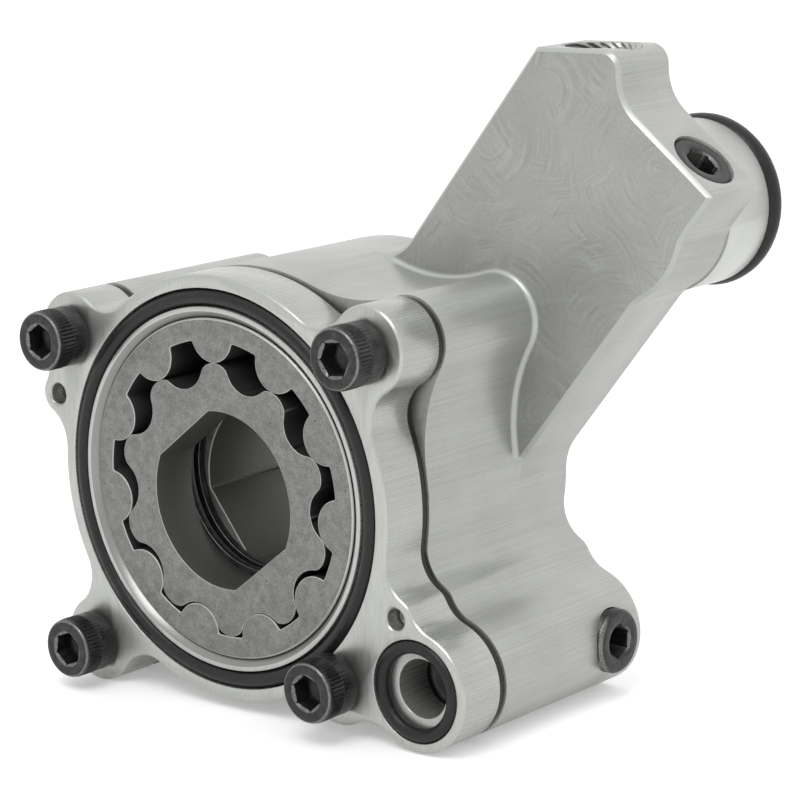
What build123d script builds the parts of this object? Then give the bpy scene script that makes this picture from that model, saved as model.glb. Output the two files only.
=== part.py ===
"""Engine oil pump with a feed and a scavenge gerotor set.

Millimetres. The origin is the centre of the feed rotor pocket on the front mounting
face. +X is to the right when the mounting face is looked at, +Y runs from that face
into the pump, and +Z is up. The pump stands on its lower ear and its oil port boss.
"""

from build123d import *
from math import cos, pi, radians, sin
import os

os.makedirs("parts", exist_ok=True)

# ---------------------------------------------------------------- driving dimensions

# Housing outline, seen from the front
ring_r = 33.3                 # round part of the housings
ear_r = 6.8                   # screw ears
boss_r = 9.3                  # oil port boss
lobe_r = 3.3                  # lobes round the dowels
outline_blend_r = 6.0         # concave corners of the outline
shoulder_blend_r = 26.0       # slow corners beside the upper right ear of the body
screw_places = {              # direction from the rotor axis and distance outside the ring
    "upper_left": (145.0, 3.8),
    "upper_right": (38.9, 5.9),
    "lower_left": (225.1, 6.4),
    "lower_right": (-49.2, 1.6),
}
dowel_places = {"left": (161.8, 2.9), "right": (-23.6, 4.15)}
port_place = (-33.95, 12.15)

# Depths
front_t = 8.5                 # front housing
seal_t = 1.5                  # seal between the housings
body_t = 34.0                 # pump body
arm_t = 12.7                  # arm
rotor_recess = 0.5            # rotor faces behind the mounting face
axial_gap = 0.05              # running gap at each rotor face
separator_t = 1.4             # each separator plate
spring_space = 1.1            # room for the wave washer
scavenge_t = 18.0             # scavenge rotors

# Rotors
rotor_fit = 0.06              # radial running clearance of the outer rotors
lobe_count = 11               # lobes of an outer rotor, one more than its inner rotor
lobe_circle_inset = 2.75      # circle through the lobe centres, from the pocket wall
lobe_tip_r = 4.2              # radius of each lobe
cavity_wall = 3.39            # rim of the outer rotor behind the spaces between its lobes
cavity_corner_r = 0.4
eccentricity = 1.74           # inner rotor axis from the outer rotor axis
mesh_angle = -86.0            # direction in which the two rotors mesh fully
tooth_gap = 0.05              # play between the rotor profiles
points_per_lobe = 12
root_gather = 0.88            # how strongly profile points gather in the roots
bore_r = 13.95                # shaft bore of the inner rotors
bore_flats = 24.5             # across the two drive flats
feed_turn = 14.0              # outer rotor turn from a lobe at the mesh angle
scavenge_turn = 2.0
feed_flat_angle = 127.3       # direction square to the drive flats
scavenge_flat_angle = 37.3
rotor_edge = 0.3              # edge break of the rotors

# Front face details
pocket_chamfer = 1.0
face_wall = 2.1               # from the ring to the O-ring groove
face_groove_w = 2.8
face_land_w = 1.75            # from the O-ring groove to the pocket
face_groove_depth = 2.2
face_ring_section = 2.5
port_sink_r = 7.87            # counterbore of the oil port
port_sink_depth = 1.9
port_ring_section = 2.2
port_r = 4.5
edge_break = 0.35
same_size = 0.01              # closeness by which edges are found

# Screws, quarter-inch socket heads, and dowels
screw_r = 3.175
screw_length = 50.8
head_r = 4.7625
head_h = 6.35
head_standoff = 0.8           # heads stand clear of the proud face seal
head_hex = 4.7625             # across flats
head_hex_depth = 3.2
hole_gap = 0.15               # round each screw shank
dowel_r = 1.6
dowel_length = 11.0
dowel_recess = 2.6            # dowel end behind the mounting face
ring_gap = 0.02               # between a seal and its groove
seal_inset = 0.3              # seal edge behind the outline

# Arm
arm_angle = 50.5              # direction of the arm from +X
arm_left = 12.2               # left flank from the rotor axis, square to the arm
arm_right = 24.6              # right flank
arm_end = 79.2                # square end along the arm
arm_top_z = 65.9
horn_x = 53.6                 # right side of the top corner
horn_corner_r = 3.0
horn_blend_r = 4.0
toe_blend_r = 8.0             # arm into the round housing
arm_edge = 0.6                # chamfer round the arm face
arm_root_r = 1.0              # fillet where the arm face meets the walls of the body

# Spigot on the back of the arm
spigot_point = (51.6, 41.0)
spigot_r = 12.7
spigot_collar = 10.3          # from the arm to the O-ring groove
spigot_groove_w = 4.2
spigot_ring_section = 4.0
spigot_ring_proud = 0.55
spigot_lip = 1.0
spigot_lip_drop = 2.2         # lip below the surface of the collar
spigot_bore_r = 6.5
cheek_gap = 0.25              # arm flank inside the spigot surface

# Passages, closed by taper plugs
plug_r = 5.05
plug_length = 7.5
plug_hex = 4.7625
plug_hex_depth = 4.2
plug_rim = 0.4                # rim chamfer of each plug
drill_r = 3.6
end_plug_offset = -17.6       # drilling through the arm end, left of the rotor axis
end_plug_sunk = 0.3
top_plug_offset = 6.3
top_plug_depth = 5.0          # outer end of the top plug below the middle of its mouth
top_drill_length = 52.0
end_drill_length = 50.0
base_plug_proud = 0.7
shaft_hole_gap = 0.65         # shaft hole of the body and plates, outside the rotor bore
separator_seal_w = 1.8
washer_rim_gap = 2.29         # from the separator seal to the wave washer
washer_w = 5.0
washer_t = 0.4
wave_grid = 16                # points across the sheet that the washer is cut from
washer_gap = 0.05             # between the wave crests and the plates
kidney_inset = 6.15           # centre line of the scavenge ports, from the pocket wall
kidney_w = 6.0
kidney_depth = 5.0
kidney_sweep = 80             # degrees

# ---------------------------------------------------------------- derived places

head_y = -head_h - head_standoff
seal_y = front_t
body_y = front_t + seal_t
back_y = body_y + body_t
arm_y = back_y - arm_t
arm_mid_y = arm_y + arm_t / 2
feed_y = rotor_recess
feed_t = front_t - feed_y - axial_gap
front_separator_y = front_t
spring_y = front_separator_y + separator_t
rear_separator_y = spring_y + spring_space
scavenge_y = rear_separator_y + separator_t + axial_gap
pocket_floor_y = scavenge_y + scavenge_t + axial_gap
spigot_groove_y = back_y + spigot_collar
spigot_end_y = spigot_groove_y + spigot_groove_w + spigot_lip
face_groove_r = ring_r - face_wall
face_land_r = face_groove_r - face_groove_w     # inside of the O-ring groove
pocket_r = face_land_r - face_land_w            # rotor pockets
lobe_circle_r = pocket_r - lobe_circle_inset
round_r = pocket_r - rotor_fit                  # rotors and plates
cavity_r = round_r - cavity_wall
kidney_r = pocket_r - kidney_inset
shaft_hole_r = bore_r + shaft_hole_gap
washer_rim_r = round_r - separator_seal_w - washer_rim_gap
inner_axis = (eccentricity * cos(radians(mesh_angle)), eccentricity * sin(radians(mesh_angle)))
arm_dir = Vector(cos(radians(arm_angle)), 0, sin(radians(arm_angle)))
arm_side = Vector(-sin(radians(arm_angle)), 0, cos(radians(arm_angle)))
top_hole_point = (arm_dir * ((arm_top_z - top_plug_offset * arm_side.Z) / arm_dir.Z)
                  + arm_side * top_plug_offset)


def outside_ring(angle: float, distance: float) -> tuple:
    """The X and Z of a point in a direction from the rotor axis, outside the ring."""
    reach = ring_r + distance
    return (reach * cos(radians(angle)), reach * sin(radians(angle)))


screw_points = {name: outside_ring(*place) for name, place in screw_places.items()}
dowel_points = {name: outside_ring(*place) for name, place in dowel_places.items()}
port_point = outside_ring(*port_place)


def at_depth(y: float) -> Plane:
    """The plane square to the pump axis, y behind the mounting face.

    Sketches on it use X and Z, and a negative extrusion runs into the pump.
    """
    return Plane.XZ.offset(-y)


def save(part: BuildPart, label: str) -> None:
    """Label a finished piece and write it to its own file."""
    part.part.label = label
    export_step(part.part, f"parts/{label}.step")


# ---------------------------------------------------------------- outlines


def closed_corners(shape: Sketch, radius: float) -> Sketch:
    """Round the concave corners of a sketch by growing and shrinking it."""
    grown = offset(shape, amount=radius, kind=Kind.ARC)
    return offset(grown, amount=-radius, kind=Kind.ARC)


def ring_with(points: list, radius: float) -> Sketch:
    """The round housing joined with discs of one radius."""
    with BuildSketch() as outline:
        Circle(ring_r)
        with Locations(*points):
            Circle(radius)
    return outline.sketch


def housing_outline(slow_shoulder: bool) -> Sketch:
    """Outline shared by the front housing, the seal and the pump body.

    Args:
        slow_shoulder: fill both sides of the upper right ear, as on the body.
    """
    with BuildSketch() as outline:
        add(ring_with(screw_points.values(), ear_r))
        add(ring_with(dowel_points.values(), lobe_r))
        add(ring_with([port_point], boss_r))
    shape = closed_corners(outline.sketch, outline_blend_r)
    if slow_shoulder:
        shoulder = closed_corners(ring_with([screw_points["upper_right"]], ear_r), shoulder_blend_r)
        shape = shape + shoulder
    return shape


def arm_outline() -> Sketch:
    """The arm: a straight strip, the corner on its top, and the spigot's cheek."""
    with BuildSketch() as strip:
        with Locations(Rotation(0, 0, arm_angle)):
            with Locations((arm_end / 2, (arm_left - arm_right) / 2)):
                Rectangle(arm_end, arm_left + arm_right)
    left_x_at_top = (arm_dir.X * arm_top_z - arm_left) / arm_dir.Z
    with BuildSketch() as horn:
        with BuildLine():
            Polyline(
                (left_x_at_top, arm_top_z),
                (horn_x, arm_top_z),
                (horn_x, spigot_point[1]),
                ((arm_dir.X * spigot_point[1] - arm_left) / arm_dir.Z, spigot_point[1]),
                close=True,
            )
        make_face()
        horn_corner = horn.vertices().sort_by(Axis.Y)[-2:].sort_by(Axis.X)[-1]
        fillet(horn_corner, horn_corner_r)
    with BuildSketch() as arm:
        add(strip.sketch)
        with Locations((0, arm_top_z)):
            Rectangle(4 * arm_end, 2 * arm_end, align=(Align.CENTER, Align.MIN), mode=Mode.SUBTRACT)
        add(horn.sketch)
        with Locations(spigot_point):
            Circle(spigot_r - cheek_gap)
    blended = closed_corners(arm.sketch, horn_blend_r)
    with BuildSketch() as rooted:
        add(blended)
        Circle(ring_r)
    return closed_corners(rooted.sketch, toe_blend_r)


# ---------------------------------------------------------------- rotors


def inner_point(step: float) -> Vector:
    """A point of the inner rotor profile about its own axis.

    The lobes of the outer rotor sweep the profile: it lies one lobe radius inside
    the path of a lobe centre, seen from the turning inner rotor. Whole steps are
    roots, and points gather there because the profile turns fastest in the roots.
    """
    gathered = step - root_gather * sin(2 * pi * step) / (2 * pi)
    turn = 2 * pi * gathered / (lobe_count - 1)
    path = Vector(
        lobe_circle_r * cos(turn) - eccentricity * cos(lobe_count * turn),
        lobe_circle_r * sin(turn) - eccentricity * sin(lobe_count * turn),
    )
    along = Vector(
        -lobe_circle_r * sin(turn) + lobe_count * eccentricity * sin(lobe_count * turn),
        lobe_circle_r * cos(turn) - lobe_count * eccentricity * cos(lobe_count * turn),
    ).normalized()
    return path + Vector(-along.Y, along.X) * (lobe_tip_r + tooth_gap)


def outer_rotor(y: float, thickness: float, turn: float) -> BuildPart:
    """Outer gerotor: a ring with round lobes inside."""
    with BuildPart() as rotor:
        with BuildSketch(at_depth(y)):
            Circle(round_r)
            Circle(cavity_r, mode=Mode.SUBTRACT)
        extrude(amount=-thickness)
        with BuildSketch(at_depth(y)) as lobes:
            with PolarLocations(lobe_circle_r, lobe_count, mesh_angle + turn):
                Circle(lobe_tip_r)
        extrude(amount=-thickness)
        with BuildSketch(at_depth(y)):
            Circle(pocket_r + lobe_tip_r)
            Circle(round_r, mode=Mode.SUBTRACT)
        extrude(amount=-thickness, mode=Mode.SUBTRACT)
        corners = rotor.edges().filter_by(Axis.Y).filter_by(
            lambda edge: abs(Vector(edge.center().X, edge.center().Z).length - cavity_r) < cavity_corner_r
        )
        fillet(corners, cavity_corner_r)
        rim = rotor.edges().filter_by(GeomType.CIRCLE).filter_by(
            lambda edge: abs(edge.radius - round_r) < same_size
        )
        chamfer(rim, rotor_edge)
    return rotor


def inner_rotor(y: float, thickness: float, turn: float, flat_angle: float) -> BuildPart:
    """Inner gerotor with a round bore that has two drive flats."""
    count = points_per_lobe * (lobe_count - 1)
    root_angle = mesh_angle + turn * lobe_count / (lobe_count - 1)
    profile = [
        inner_point(i / points_per_lobe).rotate(Axis.Z, root_angle) + Vector(*inner_axis)
        for i in range(count)
    ]
    with BuildPart() as rotor:
        with BuildSketch(at_depth(y)):
            with BuildLine():
                Spline(*profile, periodic=True)
            make_face()
        extrude(amount=-thickness)
        with BuildSketch(at_depth(y)):
            with Locations(Location((*inner_axis, 0), (0, 0, flat_angle))):
                Circle(bore_r)
                Rectangle(bore_flats, 2 * bore_r, mode=Mode.INTERSECT)
        extrude(amount=-thickness, mode=Mode.SUBTRACT)
    return rotor


def rotor_set(name: str, y: float, thickness: float, turn: float, flat_angle: float) -> None:
    """Write the two rotors of one pump stage."""
    save(outer_rotor(y, thickness, turn), f"{name}_outer_rotor")
    save(inner_rotor(y, thickness, turn, flat_angle), f"{name}_inner_rotor")


rotor_set("feed", feed_y, feed_t, feed_turn, feed_flat_angle)
rotor_set("scavenge", scavenge_y, scavenge_t, scavenge_turn, scavenge_flat_angle)


# ---------------------------------------------------------------- front housing and seal

front_shape = housing_outline(slow_shoulder=False)
seal_shape = offset(front_shape, amount=-seal_inset, kind=Kind.ARC)
body_shape = housing_outline(slow_shoulder=True)
arm_shape = arm_outline()

with BuildPart() as front_housing:
    with BuildSketch(at_depth(0)):
        add(front_shape)
    extrude(amount=-front_t)
    chamfer(front_housing.faces().sort_by(Axis.Y)[0].edges(), edge_break)
    with BuildSketch(at_depth(0)):
        Circle(pocket_r)
    extrude(amount=-front_t, mode=Mode.SUBTRACT)
    mouth = front_housing.faces().sort_by(Axis.Y)[0].edges().filter_by(
        lambda edge: edge.geom_type == GeomType.CIRCLE and abs(edge.radius - pocket_r) < same_size
    )
    chamfer(mouth, pocket_chamfer)
    with BuildSketch(at_depth(0)):
        Circle(face_groove_r)
        Circle(face_land_r, mode=Mode.SUBTRACT)
    extrude(amount=-face_groove_depth, mode=Mode.SUBTRACT)
    with BuildSketch(at_depth(0)):
        with Locations(port_point):
            Circle(port_sink_r)
    extrude(amount=-port_sink_depth, mode=Mode.SUBTRACT)
    with BuildSketch(at_depth(0)):
        with Locations(port_point):
            Circle(port_r)
        with Locations(*dowel_points.values()):
            Circle(dowel_r + ring_gap)
        with Locations(*screw_points.values()):
            Circle(screw_r + hole_gap)
    extrude(amount=-front_t, mode=Mode.SUBTRACT)
    dowel_mouths = front_housing.edges().filter_by_position(Axis.Y, 0, same_size).filter_by(
        lambda edge: abs(edge.length - 2 * pi * (dowel_r + ring_gap)) < same_size
    )
    chamfer(dowel_mouths, edge_break)
save(front_housing, "front_housing")

with BuildPart() as housing_seal:
    with BuildSketch(at_depth(seal_y)):
        add(seal_shape)
        Circle(pocket_r + 2 * seal_inset, mode=Mode.SUBTRACT)
        with Locations(port_point):
            Circle(port_r + seal_inset, mode=Mode.SUBTRACT)
        with Locations(*dowel_points.values()):
            Circle(dowel_r + hole_gap, mode=Mode.SUBTRACT)
        with Locations(*screw_points.values()):
            Circle(screw_r + hole_gap, mode=Mode.SUBTRACT)
    extrude(amount=-seal_t)
save(housing_seal, "housing_seal")


# ---------------------------------------------------------------- pump body


end_hole_point = arm_dir * arm_end + arm_side * end_plug_offset + Vector(0, arm_mid_y, 0)
top_hole_point = top_hole_point + Vector(0, arm_mid_y, 0)
base_hole_point = Vector(port_point[0] + boss_r, arm_mid_y, port_point[1])
leftwards = Vector(-1, 0, 0)

with BuildPart() as arm:
    with BuildSketch(at_depth(arm_y)):
        add(arm_shape)
    extrude(amount=-arm_t)
    chamfer(arm.faces().sort_by(Axis.Y)[0].edges(), arm_edge)

with BuildPart() as pump_body:
    with BuildSketch(at_depth(body_y)):
        add(body_shape)
    extrude(amount=-body_t)
    add(arm)
    walls = pump_body.faces().filter_by(lambda face: abs(face.bounding_box().min.Y - body_y) < same_size)
    wall_ends = [edge.center() for wall in walls for edge in wall.edges()]
    roots = pump_body.edges().filter_by_position(Axis.Y, arm_y - same_size, arm_y + same_size).filter_by(
        lambda edge: any((edge.center() - end).length < same_size for end in wall_ends)
    )
    fillet(roots, arm_root_r)
    # Spigot: collar, O-ring groove and lip
    groove_r = spigot_r + spigot_ring_proud - spigot_ring_section - ring_gap
    for radius, start, end in (
        (spigot_r, back_y, spigot_groove_y),
        (groove_r, spigot_groove_y, spigot_end_y),
        (spigot_r - spigot_lip_drop, spigot_groove_y + spigot_groove_w, spigot_end_y),
    ):
        with BuildSketch(at_depth(start)):
            with Locations(spigot_point):
                Circle(radius)
        extrude(amount=start - end)
    # Bore of the spigot, into the middle of the arm
    with BuildSketch(at_depth(spigot_end_y)):
        with Locations(spigot_point):
            Circle(spigot_bore_r)
    extrude(amount=spigot_end_y - arm_mid_y, mode=Mode.SUBTRACT)
    # Pocket of the scavenge rotors and hole for the drive shaft
    with BuildSketch(at_depth(body_y)):
        Circle(pocket_r)
    extrude(amount=body_y - pocket_floor_y, mode=Mode.SUBTRACT)
    with BuildSketch(at_depth(pocket_floor_y)):
        Circle(shaft_hole_r)
    extrude(amount=pocket_floor_y - back_y, mode=Mode.SUBTRACT)
    # Kidney ports in the pocket floor
    with BuildSketch(at_depth(pocket_floor_y)):
        for middle in (arm_angle, arm_angle + 180):
            with BuildLine():
                kidney = CenterArc((0, 0), kidney_r, middle - kidney_sweep / 2, kidney_sweep)
            SlotArc(kidney, kidney_w)
    extrude(amount=-kidney_depth, mode=Mode.SUBTRACT)
    # Screw, dowel and port holes
    with BuildSketch(at_depth(body_y)):
        with Locations(*screw_points.values()):
            Circle(screw_r + hole_gap)
    extrude(amount=-body_t, mode=Mode.SUBTRACT)
    with BuildSketch(at_depth(body_y)):
        with Locations(*dowel_points.values()):
            Circle(dowel_r + ring_gap)
    extrude(amount=body_y - dowel_recess - dowel_length, mode=Mode.SUBTRACT)
    with BuildSketch(at_depth(body_y)):
        with Locations(port_point):
            Circle(port_r)
    extrude(amount=body_y - arm_mid_y, mode=Mode.SUBTRACT)
    # Drillings along the arm and across the boss, each with the seat of its plug
    for start, direction, radius, length in (
        (end_hole_point, -arm_dir, drill_r, end_drill_length),
        (end_hole_point, -arm_dir, plug_r, plug_length + end_plug_sunk),
        (top_hole_point + arm_dir * plug_length, -arm_dir, plug_r, 2 * plug_length + top_plug_depth),
        (top_hole_point, -arm_dir, drill_r, top_drill_length),
        (base_hole_point, leftwards, plug_r, plug_length - base_plug_proud),
        (base_hole_point, leftwards, drill_r, boss_r),
    ):
        with BuildSketch(Plane(start, z_dir=direction)):
            Circle(radius)
        extrude(amount=length, mode=Mode.SUBTRACT)
save(pump_body, "pump_body")


# ---------------------------------------------------------------- plugs


def taper_plug(start: Vector, outwards: Vector) -> BuildPart:
    """A plug with a hexagon socket, its outer end at a point and facing a direction."""
    end_plane = Plane(start, z_dir=outwards)
    with BuildPart() as plug:
        with BuildSketch(end_plane):
            Circle(plug_r)
        extrude(amount=-plug_length)
        chamfer(plug.faces().sort_by(lambda face: face.center().dot(outwards))[-1].edges(), plug_rim)
        with BuildSketch(end_plane):
            RegularPolygon(plug_hex / 2, 6, major_radius=False)
        extrude(amount=-plug_hex_depth, mode=Mode.SUBTRACT)
    return plug


save(taper_plug(end_hole_point - arm_dir * end_plug_sunk, arm_dir), "end_plug")
save(taper_plug(top_hole_point - arm_dir * top_plug_depth, arm_dir), "top_plug")
save(taper_plug(base_hole_point - leftwards * base_plug_proud, -leftwards), "base_plug")


# ---------------------------------------------------------------- screws and dowels


def cap_screw(point: tuple) -> BuildPart:
    """Socket head cap screw."""
    with BuildPart() as screw:
        with BuildSketch(at_depth(head_y)):
            with Locations(point):
                Circle(head_r)
        extrude(amount=-head_h)
        chamfer(screw.faces().sort_by(Axis.Y)[0].edges(), edge_break)
        with BuildSketch(at_depth(-head_standoff)):
            with Locations(point):
                Circle(screw_r)
        extrude(amount=-screw_length)
        chamfer(screw.faces().sort_by(Axis.Y)[-1].edges(), 2 * edge_break)
        with BuildSketch(at_depth(head_y)):
            with Locations(point):
                RegularPolygon(head_hex / 2, 6, major_radius=False)
        extrude(amount=-head_hex_depth, mode=Mode.SUBTRACT)
    return screw


for place, point in screw_points.items():
    save(cap_screw(point), f"{place}_cap_screw")

for place, point in dowel_points.items():
    with BuildPart() as dowel:
        with BuildSketch(at_depth(dowel_recess)):
            with Locations(point):
                Circle(dowel_r)
        extrude(amount=-dowel_length)
        chamfer(dowel.edges().filter_by(GeomType.CIRCLE), edge_break)
    save(dowel, f"{place}_dowel")


# ---------------------------------------------------------------- seal rings


def seal_ring(point: tuple, mean_r: float, section: float, middle_y: float) -> BuildPart:
    """A round-section ring lying across the pump axis."""
    with BuildPart() as ring:
        axis_point = Vector(point[0], middle_y, point[1])
        with BuildSketch(Plane(axis_point, x_dir=(1, 0, 0), z_dir=(0, 0, 1))):
            with Locations((mean_r, 0)):
                Circle(section / 2)
        revolve(axis=Axis(axis_point, (0, 1, 0)))
    return ring


save(
    seal_ring((0, 0), face_land_r + face_groove_w / 2, face_ring_section,
              face_groove_depth - face_ring_section / 2 - ring_gap),
    "face_o_ring",
)
save(
    seal_ring(port_point, port_sink_r - port_ring_section / 2 - ring_gap, port_ring_section,
              port_sink_depth - port_ring_section / 2 - ring_gap),
    "port_o_ring",
)
save(
    seal_ring(spigot_point, spigot_r + spigot_ring_proud - spigot_ring_section / 2, spigot_ring_section,
              spigot_groove_y + spigot_groove_w / 2),
    "spigot_o_ring",
)


# ---------------------------------------------------------------- separator between the stages

for name, y in (("front", front_separator_y), ("rear", rear_separator_y)):
    with BuildPart() as plate:
        with BuildSketch(at_depth(y)):
            Circle(round_r)
            Circle(shaft_hole_r, mode=Mode.SUBTRACT)
        extrude(amount=-separator_t)
    save(plate, f"{name}_separator_plate")

with BuildPart() as separator_seal:
    with BuildSketch(at_depth(spring_y + ring_gap)):
        Circle(round_r)
        Circle(round_r - separator_seal_w, mode=Mode.SUBTRACT)
    extrude(amount=2 * ring_gap - spring_space)
save(separator_seal, "separator_seal")

# The washer's three waves rise towards its rim, as the sheet bends when it is pressed
wave_rise = (spring_space - washer_t - 2 * washer_gap) / 2
wave_steps = [washer_rim_r * (2 * i / wave_grid - 1) for i in range(wave_grid + 1)]
wave_sheet = Face.make_surface_from_array_of_points([
    [
        Vector(x, spring_y + (spring_space - washer_t) / 2 + wave_rise * (complex(x, z) ** 3).imag
               / washer_rim_r**3, z)
        for z in wave_steps
    ]
    for x in wave_steps
])
with BuildPart() as wave_washer:
    add(Solid.extrude(wave_sheet, Vector(0, washer_t, 0)))
    with BuildSketch(at_depth(front_separator_y)):
        Circle(washer_rim_r)
        Circle(washer_rim_r - washer_w, mode=Mode.SUBTRACT)
    extrude(amount=front_separator_y - scavenge_y, mode=Mode.INTERSECT)
save(wave_washer, "wave_washer")
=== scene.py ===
"""Finishes, detailed pieces and studio of an engine oil pump with two gerotor stages.

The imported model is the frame. Every piece is built in its own place in that frame, and
sizes are written in millimetres and turned into metres by MM.
"""

import logging
import math
from dataclasses import dataclass, field
from enum import Enum
from typing import Callable, Optional, Union

import bmesh
import bpy
from mathutils import Matrix, Vector


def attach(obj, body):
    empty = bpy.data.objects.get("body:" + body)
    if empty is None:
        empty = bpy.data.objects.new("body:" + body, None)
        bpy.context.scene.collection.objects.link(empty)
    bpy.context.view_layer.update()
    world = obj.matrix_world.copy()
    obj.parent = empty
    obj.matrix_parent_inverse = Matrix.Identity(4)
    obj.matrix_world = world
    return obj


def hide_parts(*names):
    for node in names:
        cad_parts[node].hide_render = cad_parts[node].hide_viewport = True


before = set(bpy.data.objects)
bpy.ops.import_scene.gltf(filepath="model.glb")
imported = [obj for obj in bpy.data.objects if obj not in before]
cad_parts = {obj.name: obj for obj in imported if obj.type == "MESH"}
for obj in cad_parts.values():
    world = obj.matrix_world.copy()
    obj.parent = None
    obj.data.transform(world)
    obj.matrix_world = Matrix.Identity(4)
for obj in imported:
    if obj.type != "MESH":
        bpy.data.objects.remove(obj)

LOG = logging.getLogger("oil_pump")
MM = 0.001
NOISE_RANGE = (0.3, 0.7)            # where most of a noise lies
AXIS_R = 0.05                       # smallest loop round an axis
MERGE_MM = 0.001                    # points closer than this are one
FLAT_DEGREES = 0.3                  # corners below this are part of a flat face
CORNER_DEGREES = 32                 # corners above this have their edges broken
SHARP_DEGREES = 38                  # corners above this stay sharp in the shading
AXIAL = 0.99                        # Y part of the direction of an edge along the pump axis
UNMOVED = Matrix.Identity(4)
Loop = list[Vector]
Radius = Union[float, Callable[[float], float]]  # plain, or as a function of the angle
Profile = list[tuple[Radius, float]]  # radius and depth of each loop
Span = tuple[float, float]
Triple = tuple[float, float, float]
Socket = bpy.types.NodeSocket
Value = Union[Socket, float, tuple]


class Body(Enum):
    """The bodies that pieces ride on."""

    HOUSING = "housing"
    FEED_OUTER = "feed_outer"
    FEED_INNER = "feed_inner"
    SCAVENGE_OUTER = "scavenge_outer"
    SCAVENGE_INNER = "scavenge_inner"


class FacePattern(Enum):
    """Tool marks on the faces that lie square to the pump axis."""

    LAPPED = "lapped"
    SWIRLED = "swirled"


# ------------------------------------------------------------------ finishes


class NodeSheet:
    """A node tree, with helpers that add and join its nodes."""

    def __init__(self, tree: bpy.types.NodeTree) -> None:
        """Take over a node tree and empty it."""
        self.tree = tree
        self.tree.nodes.clear()

    def add(self, kind: str, inputs: Optional[dict[str, Value]] = None, **settings: str) -> bpy.types.Node:
        """Add a node.

        Args:
            kind: type of the node.
            inputs: its inputs by name, sockets or plain values.
            settings: its settings by name.

        Returns:
            The node.
        """
        node = self.tree.nodes.new(kind)
        for key, value in settings.items():
            setattr(node, key, value)
        for key, value in (inputs or {}).items():
            self.feed(node.inputs[key], value)
        return node

    def join(self, source: Socket, target: Socket) -> None:
        """Link one socket to another."""
        self.tree.links.new(source, target)

    def feed(self, target: Socket, value: Value) -> None:
        """Link a socket to an input, or set the input when a plain value is given.

        Args:
            target: the input.
            value: a socket, or the number or vector to set.
        """
        if isinstance(value, bpy.types.NodeSocket):
            self.join(value, target)
        else:
            target.default_value = value

    def feed_all(self, node: bpy.types.Node, *values: Value) -> None:
        """Feed the first inputs of a node, in order."""
        for target, value in zip(node.inputs, values):
            self.feed(target, value)

    def number(self, operation: str, *values: Value) -> Socket:
        """Add a Math node.

        Args:
            operation: name of the operation.
            values: its inputs, sockets or numbers.

        Returns:
            The result socket.
        """
        node = self.add("ShaderNodeMath", operation=operation)
        self.feed_all(node, *values)
        return node.outputs[0]

    def vector(self, operation: str, *values: Value, result: str = "Vector") -> Socket:
        """Add a Vector Math node.

        Args:
            operation: name of the operation.
            values: its inputs, sockets or triples.
            result: name of the output to use.

        Returns:
            The result socket.
        """
        node = self.add("ShaderNodeVectorMath", operation=operation)
        self.feed_all(node, *values)
        return node.outputs[result]

    def between(
        self, value: Socket, low: float, high: float, to_low: float = 0.0, to_high: float = 1.0
    ) -> Socket:
        """Map a value smoothly from one range to another.

        Args:
            value: the value.
            low: start of its range.
            high: end of its range.
            to_low: result at the start.
            to_high: result at the end.

        Returns:
            The mapped value.
        """
        node = self.add("ShaderNodeMapRange", interpolation_type="SMOOTHSTEP")
        self.feed_all(node, value, low, high, to_low, to_high)
        return node.outputs["Result"]


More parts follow.
